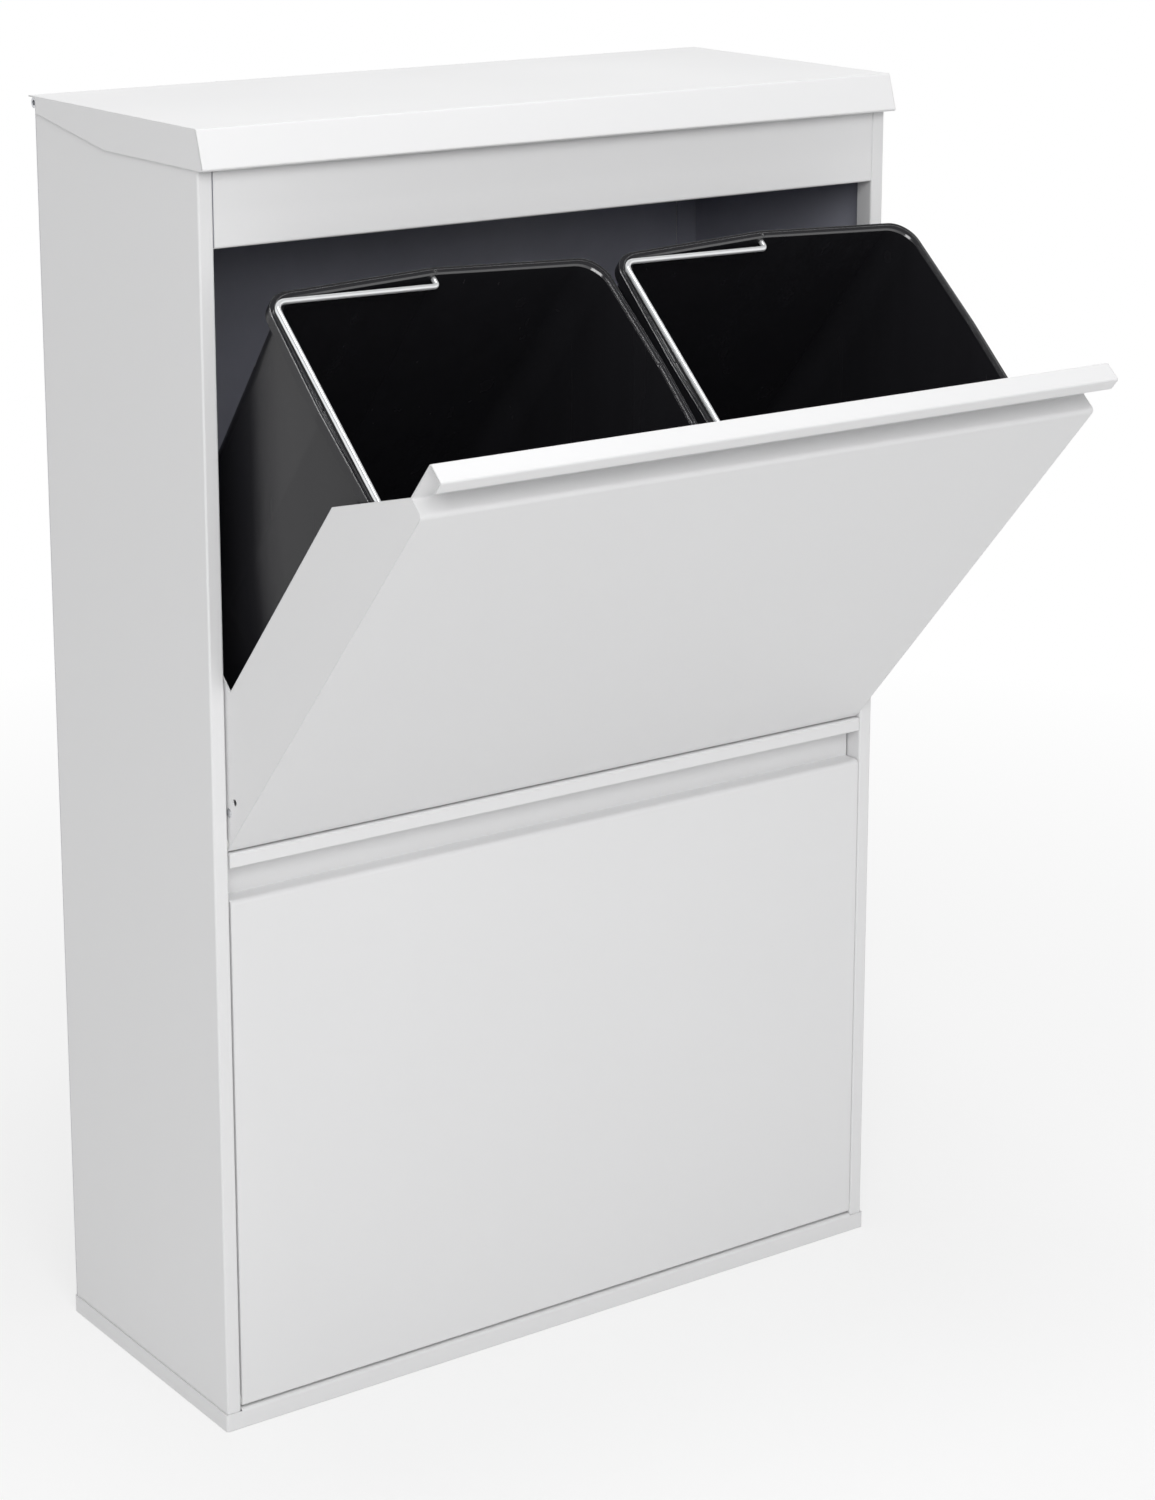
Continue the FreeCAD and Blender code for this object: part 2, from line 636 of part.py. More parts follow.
def bin_tray(bottom):
    """Folded tray that the bins stand in, riveted between the door's flanges."""
    front = FRONT + TRAY_FRONT
    back = FRONT + CARRIER_DEPTH
    floor_z = (bottom + SHEET, bottom + 2 * SHEET)
    tab_z = (bottom + SHEET, bottom + TRAY_TAB)
    tray = joined([
        block((-TRAY_HALF, TRAY_HALF), (front, back), floor_z),
        block((-TRAY_HALF, TRAY_HALF), (back - SHEET, back), (bottom + SHEET, bottom + TRAY_REAR_WALL)),
        block((-TRAY_HALF, SHEET - TRAY_HALF), (front, back), tab_z),
        block((TRAY_HALF - SHEET, TRAY_HALF), (front, back), tab_z),
    ])
    holes = []
    for back_distance in TRAY_RIVETS_BACK:
        start = vector(-DOOR_HALF, FRONT + back_distance, bottom + TRAY_RIVET_UP)
        holes.append(rod(start, X_AXIS, 2 * DOOR_HALF, RIVET_HOLE))
    return cut_all(tray, holes)


def tray_rivets(bottom):
    rivets = []
    for sx in (-1, 1):
        for back in TRAY_RIVETS_BACK:
            seat = vector(sx * DOOR_HALF, FRONT + back, bottom + TRAY_RIVET_UP)
            rivets.append(rivet(seat, X_AXIS * sx, 2 * SHEET))
    return Part.makeCompound(rivets)


def pivot_studs(bottom):
    """Stud riveted through the door's flange and turning in the bush behind the stile."""
    at_y = PIVOT_Y
    at_z = bottom + PIVOT_UP
    reach = DOOR_SIDE_GAP + BUSH_LENGTH
    head = rod(vector(TRAY_HALF - STUD_HEAD, at_y, at_z), X_AXIS, STUD_HEAD, STUD_HEAD_RADIUS)
    shank = rod(vector(TRAY_HALF - STUD_HEAD, at_y, at_z), X_AXIS, STUD_HEAD + SHEET + reach, STUD_RADIUS)
    return both_sides(joined([head, shank]))


def pivot_bushes(bottom):
    """Flanged plastic bush in the stile's return."""
    start = vector(STILE_INNER - BUSH_FLANGE_THICK, PIVOT_Y, bottom + PIVOT_UP)
    flange = rod(start, X_AXIS, BUSH_FLANGE_THICK, BUSH_RADIUS + BUSH_FLANGE)
    body = rod(start, X_AXIS, BUSH_FLANGE_THICK + BUSH_LENGTH, BUSH_RADIUS)
    bore = rod(start, X_AXIS, BUSH_FLANGE_THICK + BUSH_LENGTH, STUD_RADIUS + RUNNING_CLEARANCE)
    return both_sides(joined([flange, body]).cut(bore))


def stop_lugs(bottom):
    """Lug outside each flange that meets the rear edge of the stile's return when the door is open."""
    at_y = FRONT + LUG_BACK
    at_z = bottom + LUG_UP
    head = rod(vector(TRAY_HALF - SHEET, at_y, at_z), X_AXIS, SHEET, LUG_HEAD_RADIUS)
    shank = rod(vector(TRAY_HALF - SHEET, at_y, at_z), X_AXIS, 2 * SHEET, LUG_SHANK_RADIUS)
    lug = rod(vector(DOOR_HALF, at_y, at_z), X_AXIS, LUG_LENGTH, LUG_RADIUS)
    return both_sides(joined([head, shank, lug]))


def closing_pads(bottom, seat_z):
    """Rubber pad under the rear of each tray, on which the closed door rests."""
    height = bottom + SHEET - PAD_CLEARANCE - seat_z
    seat = vector(PAD_SIDE, FRONT + CARRIER_DEPTH - PAD_RADIUS, seat_z)
    return both_sides(rod(seat, Z_AXIS, height, PAD_RADIUS))


def rounded_path(points, radii):
    """Wire through the points, with an arc of the given radius at each inner one."""
    edges = []
    at = points[0]
    for before, corner, after, radius in zip(points, points[1:], points[2:], radii):
        run_in = (corner - before).normalize()
        run_out = (after - corner).normalize()
        half_turn = run_in.getAngle(run_out) / 2
        tangent = radius * math.tan(half_turn)
        first = corner - run_in * tangent
        last = corner + run_out * tangent
        inner = (run_out - run_in).normalize()
        middle = corner + inner * (radius / math.cos(half_turn) - radius)
        edges.append(Part.makeLine(at, first))
        edges.append(Part.Arc(first, middle, last).toShape())
        at = last
    edges.append(Part.makeLine(at, points[-1]))
    return Part.Wire(edges)


def bin_outline(half_x, half_y, z):
    """Closed outline about the origin: each side is two straight runs that meet at a blunt apex."""
    corner_x = half_x - BIN_SIDE_BOW
    corner_y = half_y - BIN_END_BOW
    turns = [
        (half_x, 0),
        (corner_x, corner_y),
        (0, half_y),
        (-corner_x, corner_y),
        (-half_x, 0),
        (-corner_x, -corner_y),
        (0, -half_y),
        (corner_x, -corner_y),
    ]
    points = [vector(x, y, z) for x, y in turns]
    start = (points[-1] + points[0]) / 2
    return rounded_path([start] + points + [start], [BIN_APEX_ROUND, BIN_CORNER] * 4)


def bin_section(inset, z):
    """Outline of the bin, taken in by inset from the rim's outer edge."""
    return bin_outline(BIN_HALF_WIDTH - inset, BIN_HALF_DEPTH - inset, z)


def bin_prism(inset, z0, z1):
    return Part.Face(bin_section(inset, z0)).extrude(vector(0, 0, z1 - z0))


def rounded_prism(inset, z0, z1, radius):
    """Prism of the bin's outline with its top edge rounded."""
    prism = bin_prism(inset, z0, z1)
    top = [edge for edge in prism.Edges if all(near(v.Z, z1) for v in edge.Vertexes)]
    return prism.makeFillet(radius, top)


def bin_shell():
    """Tapered bin about its own axis, with a stepped rim, two bail holes and a notch at each side's apex."""
    foot_inset = RIM_WIDTH + BIN_TAPER
    knee = BIN_BASE + BIN_FOOT_CHAMFER
    knee_inset = foot_inset - BIN_LEAN * BIN_FOOT_CHAMFER
    outside = Part.makeLoft(
        [
            bin_section(foot_inset + BIN_FOOT_CHAMFER, BIN_BASE),
            bin_section(knee_inset, knee),
            bin_section(RIM_WIDTH, BIN_RIM),
        ],
        True,
        True,
    )
    inside = Part.makeLoft(
        [
            bin_section(foot_inset + BIN_FOOT_CHAMFER + BIN_WALL, BIN_BASE + BIN_FLOOR),
            bin_section(knee_inset + BIN_WALL, knee + BIN_FLOOR),
            bin_section(RIM_WIDTH + BIN_WALL, BIN_RIM),
        ],
        True,
        True,
    )
    mouth = RIM_WIDTH + BIN_WALL
    mouth_edge = Part.makeLoft(
        [bin_section(mouth, BIN_RIM - RIM_BEAD_ROUND), bin_section(mouth - RIM_BEAD_ROUND, BIN_RIM)],
        True,
        True,
    )
    step = BIN_RIM - RIM_STEP
    under = step - RIM_TOP
    ring = joined([
        rounded_prism(0, BIN_RIM - RIM_DEPTH, step, RIM_EDGE_ROUND),
        rounded_prism(RIM_STEP_WIDTH, under, BIN_RIM, RIM_BEAD_ROUND),
    ])
    ring = ring.cut(bin_prism(RIM_THICK, BIN_RIM - RIM_DEPTH, under))
    ring = ring.cut(bin_prism(RIM_WIDTH + BIN_WALL / 2, under, BIN_RIM))
    shell = joined([outside.cut(inside), ring]).cut(inside)
    hole = WIRE_RADIUS + BAIL_HOLE_CLEARANCE
    reach = BIN_HALF_DEPTH - RIM_THICK
    notch = (-RIM_NOTCH_WIDTH / 2, RIM_NOTCH_WIDTH / 2)
    notch_z = (BIN_RIM - RIM_NOTCH_DEPTH, BIN_RIM + RIM_NOTCH_DEPTH)
    return cut_all(shell, [
        mouth_edge,
        rod(vector(0, -reach, BAIL_PIVOT), Y_AXIS, 2 * reach, hole),
        block((-BIN_HALF_WIDTH, BIN_HALF_WIDTH), notch, notch_z),
        block(notch, (-BIN_HALF_DEPTH, BIN_HALF_DEPTH), notch_z),
    ])


def bail():
    """Wire handle folded to the left on the rim: two hooked arms and the grip between them."""
    arm_y = BIN_HALF_DEPTH - BAIL_INSET
    hook_y = BIN_HALF_DEPTH - RIM_WIDTH + BAIL_HOOK_IN
    grip_x = -(BIN_HALF_WIDTH - BAIL_REACH_SHORT)
    grip_z = BIN_RIM + WIRE_RADIUS + BAIL_REST_GAP
    points = [
        vector(0, -hook_y, BAIL_PIVOT),
        vector(0, -arm_y, BAIL_PIVOT),
        vector(grip_x, -arm_y + BAIL_SPLAY, grip_z),
        vector(grip_x, arm_y - BAIL_SPLAY, grip_z),
        vector(0, arm_y, BAIL_PIVOT),
        vector(0, hook_y, BAIL_PIVOT),
    ]
    path = rounded_path(points, [BAIL_HOOK_BEND, BAIL_CORNER, BAIL_CORNER, BAIL_HOOK_BEND])
    ring = Part.Wire(Part.makeCircle(WIRE_RADIUS, points[0], Y_AXIS))
    return path.makePipeShell([ring], True, False)


def in_door(shape, side, bottom):
    """Moves a bin or bail from its own axis to its place in a closed door."""
    return shape.translated(vector(side * BIN_CENTRE, BIN_MIDDLE, bottom))


def tilted(shape, bottom):
    """Swings a piece of a closed door out to the open stop."""
    return shape.rotated(vector(0, PIVOT_Y, bottom + PIVOT_UP), X_AXIS, OPEN_ANGLE)


def as_built(shape, bottom):
    return shape


def door_nodes(name, bottom, pose):
    """Every piece that swings with one door, with its two bins and bails."""
    pieces = {
        "door_panel": door_panel(bottom),
        "bin_tray": bin_tray(bottom),
        "tray_rivets": tray_rivets(bottom),
        "pivot_studs": pivot_studs(bottom),
        "stop_lugs": stop_lugs(bottom),
    }
    shell = bin_shell()
    handle = bail()
    for side_name, side in (("left", -1), ("right", 1)):
        pieces[f"{side_name}_bin"] = in_door(shell, side, bottom)
        pieces[f"{side_name}_bail"] = in_door(handle, side, bottom)
    return {f"{name}_{piece}": pose(shape, bottom) for piece, shape in pieces.items()}


left_panel = left_side_panel()
left_post = left_stile()
left_strips = left_side_strips()
front_brace_y, rear_brace_y = BRACE_CENTRES
nodes = {
    "base_pan": base_pan(),
    "left_side_panel": left_panel,
    "right_side_panel": mirrored(left_panel),
    "left_stile": left_post,
    "right_stile": mirrored(left_post),
    "left_side_strips": left_strips,
    "right_side_strips": mirrored(left_strips),
    "back_panel": back_panel(),
    "top_fascia": top_fascia(),
    "top_tray": top_tray(),
    "top_tray_lips": top_tray_lips(),
    "front_middle_brace": middle_brace(front_brace_y),
    "rear_middle_brace": middle_brace(rear_brace_y),
    "base_rivets": Part.makeCompound([rivet(seat, Z_AXIS, 2 * SHEET) for seat in BASE_RIVETS]),
    "back_panel_rivets": Part.makeCompound([rivet(seat, Y_AXIS, 2 * SHEET) for seat in BACK_RIVETS]),
    "fascia_rivets": Part.makeCompound([rivet(seat, inward(seat), FASCIA_GRIP) for seat in FASCIA_RIVETS]),
    "lid_hinge_fixed_leaf": hinge_fixed_leaf(),
    "lid_hinge_pin": hinge_pin(),
    "lid_hinge_rivets": Part.makeCompound([rivet(seat, Y_AXIS, HINGE_GRIP) for seat in HINGE_RIVETS]),
    "lid_buffers": lid_buffers(),
    "upper_pivot_bushes": pivot_bushes(UPPER_DOOR_BOTTOM),
    "lower_pivot_bushes": pivot_bushes(LOWER_DOOR_BOTTOM),
    "upper_closing_pads": closing_pads(UPPER_DOOR_BOTTOM, BRACE_TOP),
    "lower_closing_pads": closing_pads(LOWER_DOOR_BOTTOM, SHEET),
    "lid_panel": lid_panel(),
    "lid_hinge_lid_leaf": hinge_lid_leaf(),
}
nodes.update(door_nodes("upper", UPPER_DOOR_BOTTOM, tilted))
nodes.update(door_nodes("lower", LOWER_DOOR_BOTTOM, as_built))

os.makedirs("parts", exist_ok=True)
for node_name, node_shape in nodes.items():
    node_shape.exportStep(f"parts/{node_name}.step")
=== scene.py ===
import math

import bpy
from mathutils import Matrix, Vector

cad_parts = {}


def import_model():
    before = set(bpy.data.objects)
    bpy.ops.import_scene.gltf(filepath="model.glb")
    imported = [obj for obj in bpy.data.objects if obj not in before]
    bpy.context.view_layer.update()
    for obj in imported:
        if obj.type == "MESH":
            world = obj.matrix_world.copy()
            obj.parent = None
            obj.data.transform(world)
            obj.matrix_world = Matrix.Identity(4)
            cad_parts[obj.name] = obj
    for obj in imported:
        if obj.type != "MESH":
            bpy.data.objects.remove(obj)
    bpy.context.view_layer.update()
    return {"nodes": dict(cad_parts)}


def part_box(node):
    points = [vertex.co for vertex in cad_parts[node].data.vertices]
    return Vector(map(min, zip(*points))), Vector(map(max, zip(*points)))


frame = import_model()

nodes = frame["nodes"]

# Camera: place in metres, turn and tilt in degrees, lens in pixels of the photograph
CAMERA_PLACE = (-1.3886, -2.0815, 1.2091)
CAMERA_TURN = 35.16
CAMERA_TILT = 13.37
CAMERA_FOCAL_PX = 3435.1
PHOTO_LONG_PX = 1500
SENSOR_MM = 36.0
CAMERA_SHIFT = (0.012, -0.16)

# Floor: sizes and fade in metres, and how much of the white background it takes near and far
FLOOR_HALF = 40.0
FLOOR_DROP = 0.0004
FLOOR_COLOUR = (0.82, 0.82, 0.82)
FLOOR_FADE = (0.5, 1.8)
FLOOR_WHITE_NEAR = 0.70
FLOOR_WHITE_FAR = 1.0

# World: its light on the object, and the background that dims towards the ceiling in reflections
PLAIN_WHITE = (1.0, 1.0, 1.0, 1.0)
WORLD_STRENGTH = 0.50
BACKGROUND_STRENGTH = 1.0
CEILING_FROM = 0.25
CEILING_TO = 0.75
CEILING_STRENGTH = 0.12

# Softboxes: places and sizes in metres
KEY_PLACE = (-0.1, -0.5, 3.0)
KEY_SIZE = 0.8
KEY_WATTS = 20.0
FRONT_PLACE = (-1.4, -2.65, 2.2)
FRONT_SIZE = 1.8
FRONT_WATTS = 49.0
LIGHT_AIM = (0.0, -0.1, 0.5)

# Paint, plastic and metal colours, linear
WHITE = (0.80, 0.80, 0.805)
# Inner skins: greyer than the outer white, with a blue tint that is painted cool shade
INNER_GREY_AND_COOL_SHADE = (0.420, 0.428, 0.500)
BIN_BLACK = (0.0150, 0.0148, 0.0172)
WIRE = (0.88, 0.89, 0.90)
ZINC = (0.60, 0.61, 0.63)
NYLON = (0.78, 0.78, 0.75)
RUBBER = (0.018, 0.018, 0.018)

# Where the sheets' outer skins end, in metres: points nearer the middle than these are on the inner skin
SKIN_DEPTH = 0.00075
RETURN_PAST = 0.0005
panel_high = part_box("right_side_panel")[1]
stile_low, stile_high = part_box("right_stile")
SKIN_SIDE = panel_high.x - SKIN_DEPTH
SKIN_REAR = panel_high.y - SKIN_DEPTH
SKIN_TOP = panel_high.z - SKIN_DEPTH
SKIN_FRONT = stile_low.y + SKIN_DEPTH
SKIN_RETURN = stile_low.x + SKIN_DEPTH
RETURN_REAR = stile_high.y + RETURN_PAST
SKIN_BACK_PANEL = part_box("back_panel")[1].y - SKIN_DEPTH
SKIN_FASCIA_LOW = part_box("top_fascia")[0].z + SKIN_DEPTH

# Rounding of the sheets' edges, and the flush weld between a side sheet and its stile, which shows no edge
EDGE_ROUND = 0.0009
WELD_Y = stile_high.y
WELD_HALF = 0.002

# Rims of the bins: depth of the polished band, rounding of its edges, and the upper bins' lean in degrees
RIM_BAND = 0.004
RIM_ROUND = 0.0011
UPPER_BIN_LEAN = 41.3

# Shader nodes: a noise's usual span, a bevel's rays, and the mix node's colour sockets by number
NOISE_SPAN = (0.3, 0.7)
BEVEL_SAMPLES = 4
MIX_FIRST = 6
MIX_SECOND = 7
MIX_RESULT = 2


class Shader:
    """Builds one material's nodes, with a Principled surface at the end."""

    def __init__(self, name):
        self.material = bpy.data.materials.new(name)
        self.material.use_nodes = True
        self.tree = self.material.node_tree
        self.surface = self.tree.nodes["Principled BSDF"]
        self.coords = self.add("ShaderNodeTexCoord").outputs["Object"]

    def add(self, kind, inputs=None, **settings):
        made = self.tree.nodes.new(kind)
        for key, value in settings.items():
            setattr(made, key, value)
        for key, value in (inputs or {}).items():
            self.put(made.inputs[key], value)
        return made

    def put(self, socket, value):
        if isinstance(value, bpy.types.NodeSocket):
            self.tree.links.new(value, socket)
        else:
            socket.default_value = value

    def math(self, operation, a, b=0.0):
        return self.add("ShaderNodeMath", {0: a, 1: b}, operation=operation).outputs[0]

    def axes(self):
        split = self.add("ShaderNodeSeparateXYZ", {0: self.coords})
        return split.outputs["X"], split.outputs["Y"], split.outputs["Z"]

    def noise(self, scale, detail=2.0, stretch=None):
        place = self.coords
        if stretch:
            place = self.add("ShaderNodeMapping", {"Vector": place, "Scale": stretch}).outputs[0]
        inputs = {"Vector": place, "Scale": scale, "Detail": detail}
        return self.add("ShaderNodeTexNoise", inputs).outputs["Fac"]

    def span(self, value, low, high, start=0.0, end=1.0):
        """The value's range from start to end, stretched to run from low to high."""
        inputs = {"Value": value, "From Min": start, "From Max": end, "To Min": low, "To Max": high}
        return self.add("ShaderNodeMapRange", inputs).outputs["Result"]

    def rough(self, noise, low, high):
        """Roughness that follows a noise from low to high."""
        return self.span(noise, low, high, *NOISE_SPAN)

    def mix(self, factor, first, second):
        made = self.add("ShaderNodeMix", {"Factor": factor}, data_type="RGBA")
        for socket, value in ((made.inputs[MIX_FIRST], first), (made.inputs[MIX_SECOND], second)):
            self.put(socket, value if isinstance(value, bpy.types.NodeSocket) else (*value, 1.0))
        return made.outputs[MIX_RESULT]

    def shade(self, colour, amount, factor):
        """The colour, a little darker or lighter by a noise factor."""
        darker = tuple(c * (1 - amount) for c in colour)
        lighter = tuple(min(1.0, c * (1 + amount)) for c in colour)
        return self.mix(factor, darker, lighter)

    def rounded(self, radius):
        return self.add("ShaderNodeBevel", {"Radius": radius}, samples=BEVEL_SAMPLES).outputs[0]

    def bump(self, height, distance, strength, normal=None):
        inputs = {"Height": height, "Distance": distance, "Strength": strength}
        if normal is not None:
            inputs["Normal"] = normal
        return self.add("ShaderNodeBump", inputs).outputs[0]

    def finish(self, **inputs):
        for key, value in inputs.items():
            self.put(self.surface.inputs[key.replace("_", " ")], value)
        return self.material


def side_panel_skin(s):
    """1 on a side panel's inner skin, 0 on its outer skin, stile, return and top edge."""
    x, y, z = s.axes()
    across = s.math("ABSOLUTE", x)
    inside_return = s.math("LESS_THAN", across, SKIN_RETURN)
    at_front = s.math("LESS_THAN", y, RETURN_REAR)
    white = s.math("GREATER_THAN", across, SKIN_SIDE)
    others = (
        s.math("LESS_THAN", y, SKIN_FRONT),
        s.math("GREATER_THAN", y, SKIN_REAR),
        s.math("GREATER_THAN", z, SKIN_TOP),
        s.math("MULTIPLY", inside_return, at_front),
    )
    for other in others:
        white = s.math("MAXIMUM", white, other)
    return s.math("SUBTRACT", 1.0, white)


def back_panel_skin(s):
    """1 on the back panel's inner skin."""
    _, y, _ = s.axes()
    return s.math("LESS_THAN", y, SKIN_BACK_PANEL)


def fascia_skin(s):
    """1 behind the fascia's front, between its two folds."""
    _, y, z = s.axes()
    behind = s.math("GREATER_THAN", y, SKIN_FRONT)
    above = s.math("GREATER_THAN", z, SKIN_FASCIA_LOW)
    below = s.math("LESS_THAN", z, SKIN_TOP)
    return s.math("MULTIPLY", behind, s.math("MULTIPLY", above, below))


def all_grey(s):
    """1 everywhere, on the sheets that lie inside the cabinet."""
    return 1.0


def edge_round(s):
    """Rounding of the sheets' edges, left out along the flush weld."""
    _, y, _ = s.axes()
    off_weld = s.math("GREATER_THAN", s.math("ABSOLUTE", s.math("SUBTRACT", y, WELD_Y)), WELD_HALF)
    return s.math("MULTIPLY", off_weld, EDGE_ROUND)


def coated_steel(name, inner_skin=None):
    """Stoved paint on sheet steel: faint orange peel, soft sheen, and a greyer skin inside the cabinet
    whose blue tint is painted cool shade.
    """
    s = Shader(name)
    cloud = s.noise(scale=5.0, detail=3.0)
    colour = s.shade(WHITE, amount=0.012, factor=cloud)
    if inner_skin:
        stain = s.noise(scale=30.0, detail=4.0)
        # Inner skin: grey, with a blue tint that is painted cool shade
        grey = s.shade(INNER_GREY_AND_COOL_SHADE, amount=0.10, factor=stain)
        colour = s.mix(inner_skin(s), colour, grey)
    peel = s.noise(scale=420.0, detail=2.0)
    fine = s.noise(scale=1800.0, detail=1.0)
    normal = s.bump(peel, distance=0.00006, strength=0.35, normal=s.rounded(edge_round(s)))
    normal = s.bump(fine, distance=0.00002, strength=0.25, normal=normal)
    return s.finish(
        Base_Color=colour,
        Roughness=s.rough(cloud, low=0.30, high=0.40),
        IOR=1.48,
        Normal=normal,
    )


def bin_plastic():
    """Moulded black plastic: fine grain, slightly wavy walls and light rub marks along the draw."""
    s = Shader("moulded_black_plastic")
    grain = s.noise(scale=2200.0, detail=2.0)
    wave = s.noise(scale=16.0, detail=1.0)
    rub = s.noise(scale=60.0, detail=4.0, stretch=(1.0, 1.0, 0.06))
    colour = s.shade(BIN_BLACK, amount=0.15, factor=rub)
    normal = s.bump(wave, distance=0.004, strength=0.06)
    normal = s.bump(grain, distance=0.00004, strength=0.15, normal=normal)
    return s.finish(
        Base_Color=colour,
        Roughness=s.rough(rub, low=0.20, high=0.28),
        IOR=1.42,
        Specular_IOR_Level=0.25,
        Normal=normal,
    )


def rim_plastic():
    """The bins' polished rims: the same plastic with a glossy skin and soft edges."""
    s = Shader("polished_black_plastic")
    cloud = s.noise(scale=40.0, detail=2.0)
    return s.finish(
        Base_Color=s.shade(BIN_BLACK, amount=0.10, factor=cloud),
        Roughness=s.rough(cloud, low=0.06, high=0.10),
        IOR=1.55,
        Coat_Weight=1.0,
        Coat_Roughness=0.05,
        Coat_IOR=1.6,
        Normal=s.rounded(RIM_ROUND),
    )


def bright_wire():
    """Drawn and plated wire with a faint mottle."""
    s = Shader("bright_plated_wire")
    lines = s.noise(scale=900.0, detail=3.0, stretch=(0.3, 0.3, 0.3))
    spots = s.noise(scale=140.0, detail=4.0)
    colour = s.shade(WIRE, amount=0.03, factor=spots)
    normal = s.bump(lines, distance=0.00002, strength=0.08)
    return s.finish(
        Base_Color=colour,
        Metallic=0.5,
        Roughness=s.rough(lines, low=0.12, high=0.20),
        Normal=normal,
    )


def plated_steel():
    """Zinc plating: small crystals with slightly different sheen."""
    s = Shader("zinc_plated_steel")
    crystals = s.add("ShaderNodeTexVoronoi", {"Vector": s.coords, "Scale": 700.0}).outputs["Color"]
    tone = s.add("ShaderNodeSeparateColor", {0: crystals}).outputs[0]
    scratch = s.noise(scale=500.0, detail=3.0, stretch=(0.08, 1.0, 1.0))
    colour = s.shade(ZINC, amount=0.12, factor=tone)
    normal = s.bump(scratch, distance=0.00003, strength=0.25)
    return s.finish(
        Base_Color=colour,
        Metallic=1.0,
        Roughness=s.rough(scratch, low=0.26, high=0.46),
        Normal=normal,
    )


def nylon():
    """Natural nylon with a faint mottle."""
    s = Shader("natural_nylon")
    mottle = s.noise(scale=260.0, detail=3.0)
    return s.finish(
        Base_Color=s.shade(NYLON, amount=0.04, factor=mottle),
        Roughness=s.span(mottle, low=0.40, high=0.55),
        Subsurface_Weight=0.08,
        Normal=s.bump(s.noise(scale=1500.0), distance=0.00004, strength=0.3),
    )


def rubber():
    """Black rubber with a dull bloom."""
    s = Shader("black_rubber")
    bloom = s.noise(scale=320.0, detail=4.0)
    colour = s.shade(RUBBER, amount=0.3, factor=bloom)
    normal = s.bump(s.noise(scale=1200.0, detail=3.0), distance=0.00008, strength=0.5)
    return s.finish(
        Base_Color=colour,
        Roughness=s.span(bloom, low=0.68, high=0.88),
        Normal=normal,
    )


def named(*endings):
    return [name for name in nodes if name.endswith(endings)]


def paint(material, names):
    for name in names:
        nodes[name].data.materials.clear()
        nodes[name].data.materials.append(material)


def polish_rims(material):
    """Gives the faces in the top band of each bin the rim's material."""
    lean = math.radians(UPPER_BIN_LEAN)
    leaning = Vector((0.0, -math.sin(lean), math.cos(lean)))
    upright = Vector((0.0, 0.0, 1.0))
    for name in named("_bin"):
        up = leaning if name.startswith("upper") else upright
        mesh = nodes[name].data
        heights = [vertex.co.dot(up) for vertex in mesh.vertices]
        band = max(heights) - RIM_BAND
        mesh.materials.append(material)
        for face in mesh.polygons:
            face.material_index = int(all(heights[corner] > band for corner in face.vertices))


def white_to_camera(tree):
    """1 for rays that should meet the plain white background, 0 for the rays that light the object."""
    path = tree.nodes.new("ShaderNodeLightPath")
    total = path.outputs["Is Camera Ray"]
    for name in ("Is Glossy Ray", "Is Transmission Ray"):
        both = tree.nodes.new("ShaderNodeMath")
        both.operation = "MAXIMUM"
        tree.links.new(total, both.inputs[0])
        tree.links.new(path.outputs[name], both.inputs[1])
        total = both.outputs[0]
    return total


def floor():
    """Matt floor that keeps the shadow and turns into the white background away from the object."""
    h = FLOOR_HALF
    corners = [(x, y, -FLOOR_DROP) for x, y in ((-h, -h), (h, -h), (h, h), (-h, h))]
    mesh = bpy.data.meshes.new("studio_floor")
    mesh.from_pydata(corners, [], [(0, 1, 2, 3)])
    made = bpy.data.objects.new("studio_floor", mesh)
    bpy.context.scene.collection.objects.link(made)
    s = Shader("studio_floor")
    x, y, _ = s.axes()
    away = s.math("SQRT", s.math("ADD", s.math("POWER", x, 2.0), s.math("POWER", y, 2.0)))
    share = s.span(away, FLOOR_WHITE_NEAR, FLOOR_WHITE_FAR, *FLOOR_FADE)
    white = s.add("ShaderNodeEmission", {"Color": PLAIN_WHITE, "Strength": BACKGROUND_STRENGTH})
    matt = s.add("ShaderNodeBsdfDiffuse", {"Color": (*FLOOR_COLOUR, 1.0)})
    factor = s.math("MULTIPLY", white_to_camera(s.tree), share)
    blend = s.add("ShaderNodeMixShader", {0: factor, 1: matt.outputs[0], 2: white.outputs[0]})
    s.tree.links.new(blend.outputs[0], s.tree.nodes["Material Output"].inputs["Surface"])
    s.tree.nodes.remove(s.surface)
    mesh.materials.append(s.material)


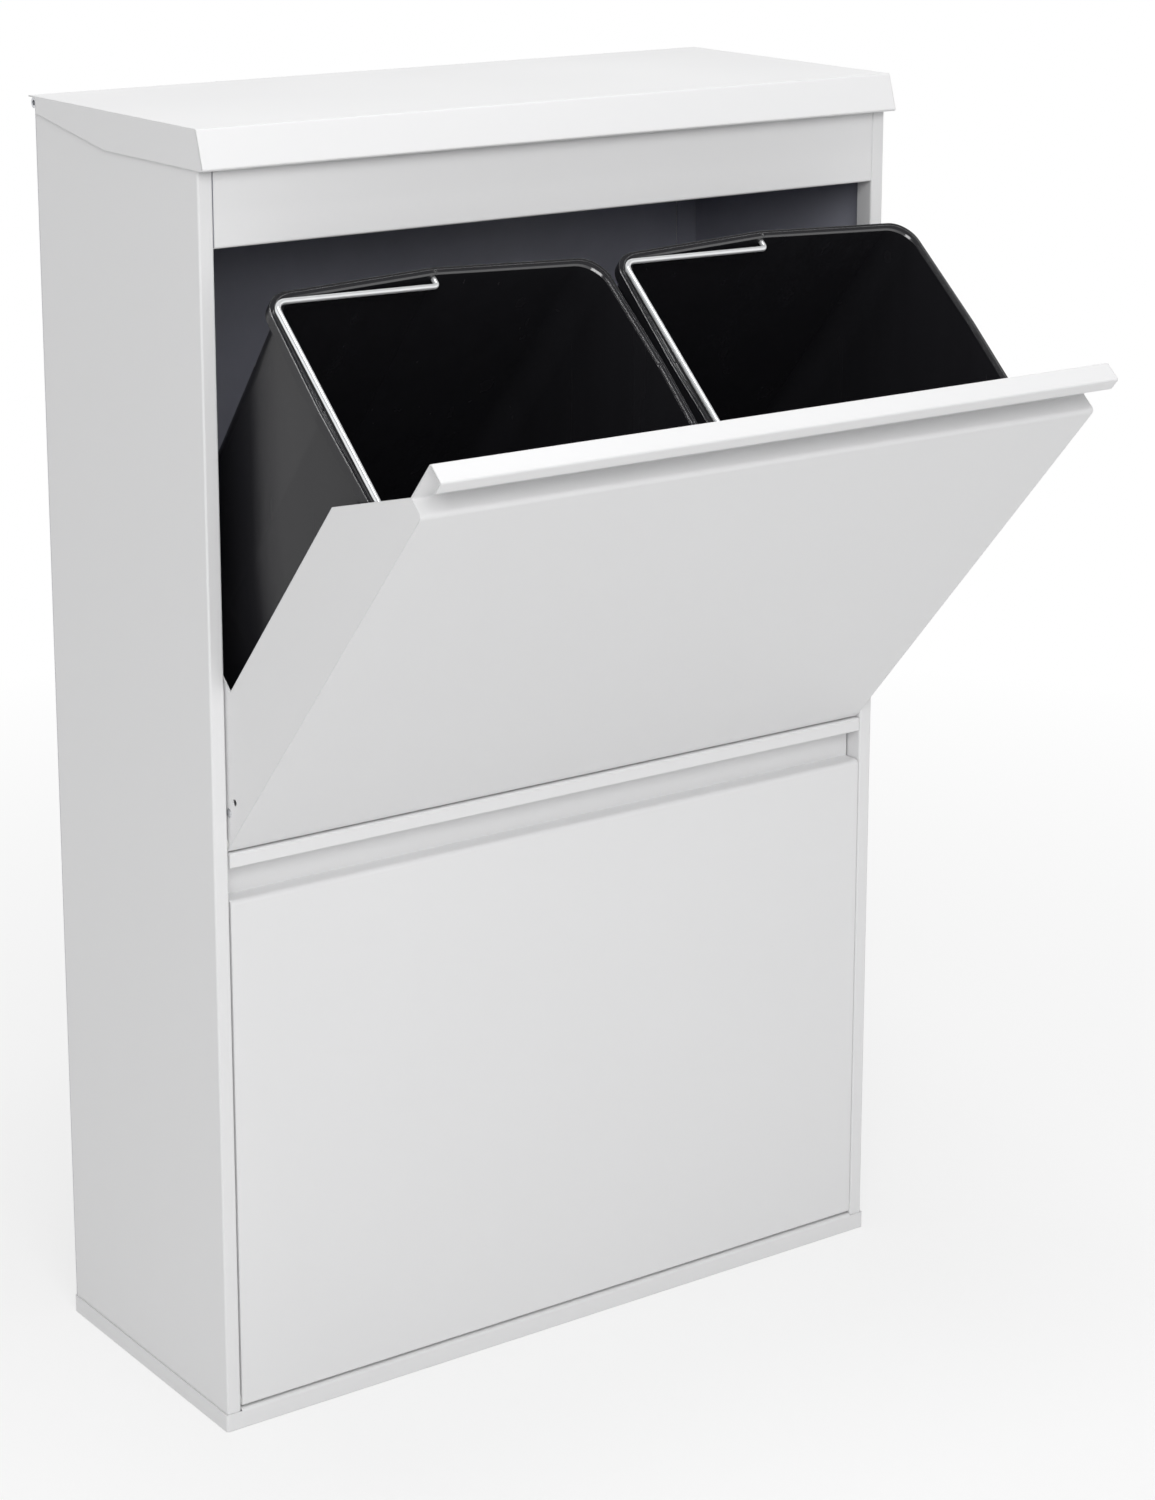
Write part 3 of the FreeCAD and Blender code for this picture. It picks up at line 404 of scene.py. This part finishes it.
def world():
    """Even light on the object, and a white background whose ceiling is dark in reflections."""
    made = bpy.data.worlds.new("studio")
    made.use_nodes = True
    bpy.context.scene.world = made
    tree = made.node_tree
    light = tree.nodes["Background"]
    light.inputs["Color"].default_value = PLAIN_WHITE
    light.inputs["Strength"].default_value = WORLD_STRENGTH
    seen = tree.nodes.new("ShaderNodeBackground")
    seen.inputs["Color"].default_value = PLAIN_WHITE
    towards = tree.nodes.new("ShaderNodeSeparateXYZ")
    tree.links.new(tree.nodes.new("ShaderNodeTexCoord").outputs["Generated"], towards.inputs[0])
    ceiling = tree.nodes.new("ShaderNodeMapRange")
    tree.links.new(towards.outputs["Z"], ceiling.inputs["Value"])
    ceiling.inputs["From Min"].default_value = CEILING_FROM
    ceiling.inputs["From Max"].default_value = CEILING_TO
    ceiling.inputs["To Min"].default_value = BACKGROUND_STRENGTH
    ceiling.inputs["To Max"].default_value = CEILING_STRENGTH
    tree.links.new(ceiling.outputs["Result"], seen.inputs["Strength"])
    blend = tree.nodes.new("ShaderNodeMixShader")
    tree.links.new(white_to_camera(tree), blend.inputs[0])
    tree.links.new(light.outputs[0], blend.inputs[1])
    tree.links.new(seen.outputs[0], blend.inputs[2])
    tree.links.new(blend.outputs[0], tree.nodes["World Output"].inputs["Surface"])


def softbox(name, place, size, watts):
    data = bpy.data.lights.new(name, "AREA")
    data.size = size
    data.energy = watts
    made = bpy.data.objects.new(name, data)
    made.location = place
    made.rotation_euler = (Vector(LIGHT_AIM) - Vector(place)).to_track_quat("-Z", "Y").to_euler()
    bpy.context.scene.collection.objects.link(made)


def camera():
    """The photograph's viewpoint, with the small lens shift that keeps the object in the frame."""
    turn = math.radians(CAMERA_TURN)
    tilt = math.radians(CAMERA_TILT)
    look = Vector((math.sin(turn) * math.cos(tilt), math.cos(turn) * math.cos(tilt), -math.sin(tilt)))
    right = Vector((math.cos(turn), -math.sin(turn), 0.0))
    up = right.cross(look)
    data = bpy.data.cameras.new("photo_camera")
    data.sensor_width = SENSOR_MM
    data.lens = CAMERA_FOCAL_PX / PHOTO_LONG_PX * SENSOR_MM
    data.shift_x, data.shift_y = CAMERA_SHIFT
    made = bpy.data.objects.new("photo_camera", data)
    made.matrix_world = Matrix.Translation(CAMERA_PLACE) @ Matrix((right, up, -look)).transposed().to_4x4()
    bpy.context.scene.collection.objects.link(made)
    bpy.context.scene.camera = made


# Dressing the nodes
paint(coated_steel("white_coated_steel"), ["base_pan", "lid_panel"] + named("door_panel"))
paint(coated_steel("side_panel_steel", side_panel_skin), named("side_panel", "_stile", "_side_strips"))
paint(coated_steel("back_panel_steel", back_panel_skin), ["back_panel"])
paint(coated_steel("fascia_steel", fascia_skin), ["top_fascia"])
paint(coated_steel("grey_coated_steel", all_grey), named("top_tray", "top_tray_lips", "brace", "bin_tray"))
paint(bin_plastic(), named("_bin"))
polish_rims(rim_plastic())
paint(bright_wire(), named("_bail"))
paint(plated_steel(), named("_rivets", "_studs", "_lugs", "_leaf", "_pin"))
paint(nylon(), named("_bushes"))
paint(rubber(), named("_pads", "_buffers"))

# Setting the studio
floor()
world()
softbox("key_softbox", KEY_PLACE, KEY_SIZE, KEY_WATTS)
softbox("front_softbox", FRONT_PLACE, FRONT_SIZE, FRONT_WATTS)
camera()
bpy.context.scene.view_settings.view_transform = "Standard"
